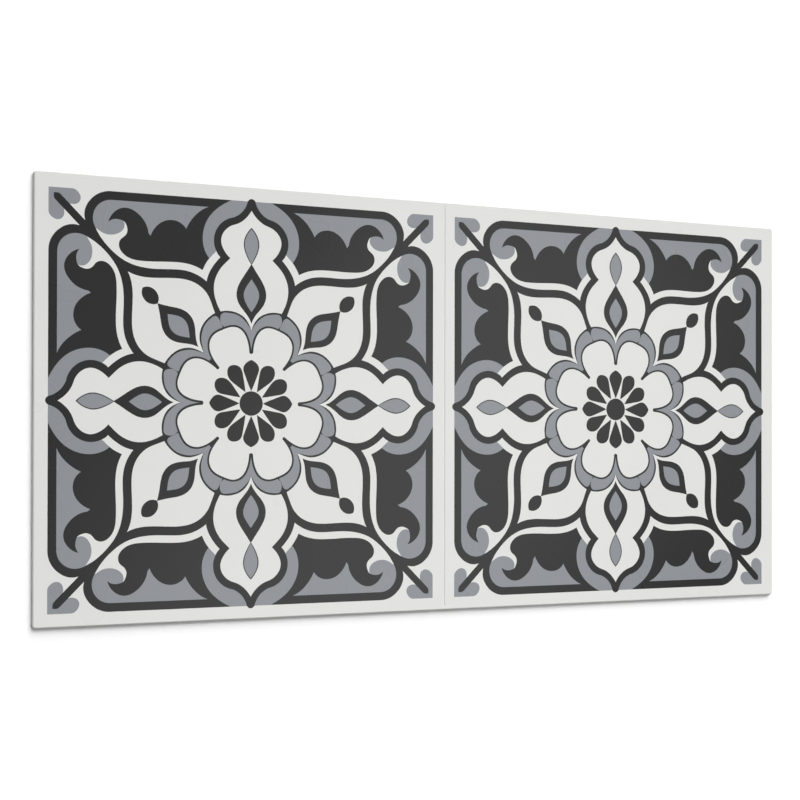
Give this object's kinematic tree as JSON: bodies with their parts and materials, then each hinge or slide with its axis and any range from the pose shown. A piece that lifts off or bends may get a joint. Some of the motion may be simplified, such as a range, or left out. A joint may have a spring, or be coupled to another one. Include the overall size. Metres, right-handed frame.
{
  "type": "self-adhesive wall panel",
  "caption": "Flat rectangular wall panel of printed PVC with a rounded edge, a pressed groove between its two tiles and a flat adhesive back; it carries a traditional tile ornament.",
  "frame": {"origin": "middle of the flat adhesive back, which is the underside of the panel as it lies face up", "axes": "+X along the length, +Y across the width towards the top edge as hung, +Z out of the printed face"},
  "size_m": [0.6, 0.3, 0.003],
  "materials": {
    "printed_pvc": "satin white PVC, printed in cool grey and charcoal"
  },
  "bodies": {
    "root": {"panel": "printed_pvc"}
  },
  "joints": []
}
